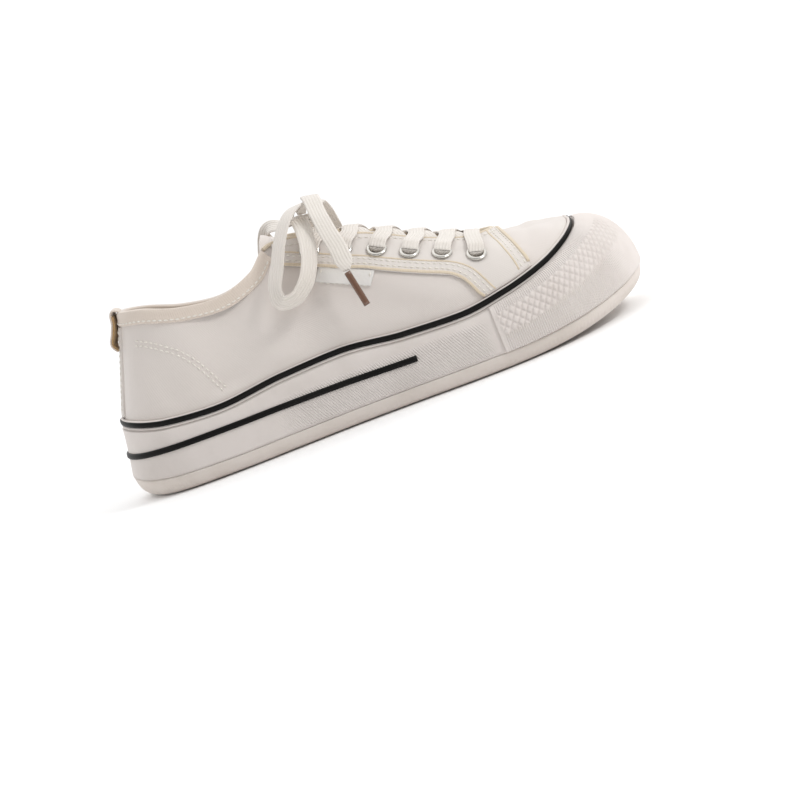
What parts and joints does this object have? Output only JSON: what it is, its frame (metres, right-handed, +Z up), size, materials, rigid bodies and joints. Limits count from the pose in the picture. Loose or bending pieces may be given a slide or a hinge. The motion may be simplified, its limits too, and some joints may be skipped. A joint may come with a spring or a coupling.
{
  "type": "canvas sneaker",
  "caption": "Low canvas lace-up sneaker with a thick rubber cup sole, piping stripes, studded toe bumper, eyelets and a tied bow.",
  "frame": {"origin": "on the floor, under the middle of the shoe's length and width", "axes": "+X towards the toe, +Y towards the inner side of the foot, +Z up"},
  "size_m": [0.2729, 0.1068, 0.109],
  "materials": {
    "outsole_rubber": "matt off-white rubber",
    "foxing_rubber": "matt off-white rubber with a fine hatch",
    "bumper_rubber": "matt off-white rubber with studs and ribs",
    "stripe_rubber": "satin black rubber",
    "lining_fabric": "off-white cotton lining",
    "upper_canvas": "off-white twill canvas",
    "facing_canvas": "off-white twill canvas",
    "collar_canvas": "cream folded hem",
    "tape_cotton": "cream woven tape",
    "tongue_canvas": "cream canvas",
    "label_fabric": "plain cream woven label",
    "eyelet_nickel": "pressed nickel",
    "lace_cotton": "flat cream cotton braid",
    "aglet_plastic": "glossy brown tip"
  },
  "bodies": {
    "root": {"outsole": "outsole_rubber", "midsole": "foxing_rubber", "toe_bumper": "bumper_rubber", "stripe_top": "stripe_rubber", "stripe_side": "stripe_rubber", "insole": "lining_fabric", "upper": "upper_canvas", "facing": "facing_canvas", "collar_band": "collar_canvas", "backstay": "facing_canvas", "heel_tab": "tape_cotton", "tongue": "tongue_canvas", "label": "label_fabric", "eyelet_outer_1": "eyelet_nickel", "eyelet_outer_2": "eyelet_nickel", "eyelet_outer_3": "eyelet_nickel", "eyelet_outer_4": "eyelet_nickel", "eyelet_outer_5": "eyelet_nickel", "eyelet_outer_6": "eyelet_nickel", "eyelet_inner_1": "eyelet_nickel", "eyelet_inner_2": "eyelet_nickel", "eyelet_inner_3": "eyelet_nickel", "eyelet_inner_4": "eyelet_nickel", "eyelet_inner_5": "eyelet_nickel", "eyelet_inner_6": "eyelet_nickel", "lace_crossing_1": "lace_cotton", "lace_crossing_2": "lace_cotton", "lace_crossing_3": "lace_cotton", "lace_crossing_4": "lace_cotton", "lace_crossing_5": "lace_cotton", "lace_crossing_6": "lace_cotton", "lace_knot": "lace_cotton", "lace_loop_outer": "lace_cotton", "lace_loop_inner": "lace_cotton", "lace_end_outer": "lace_cotton", "lace_end_inner": "lace_cotton", "aglet_outer": "aglet_plastic", "aglet_inner": "aglet_plastic"}
  },
  "joints": []
}
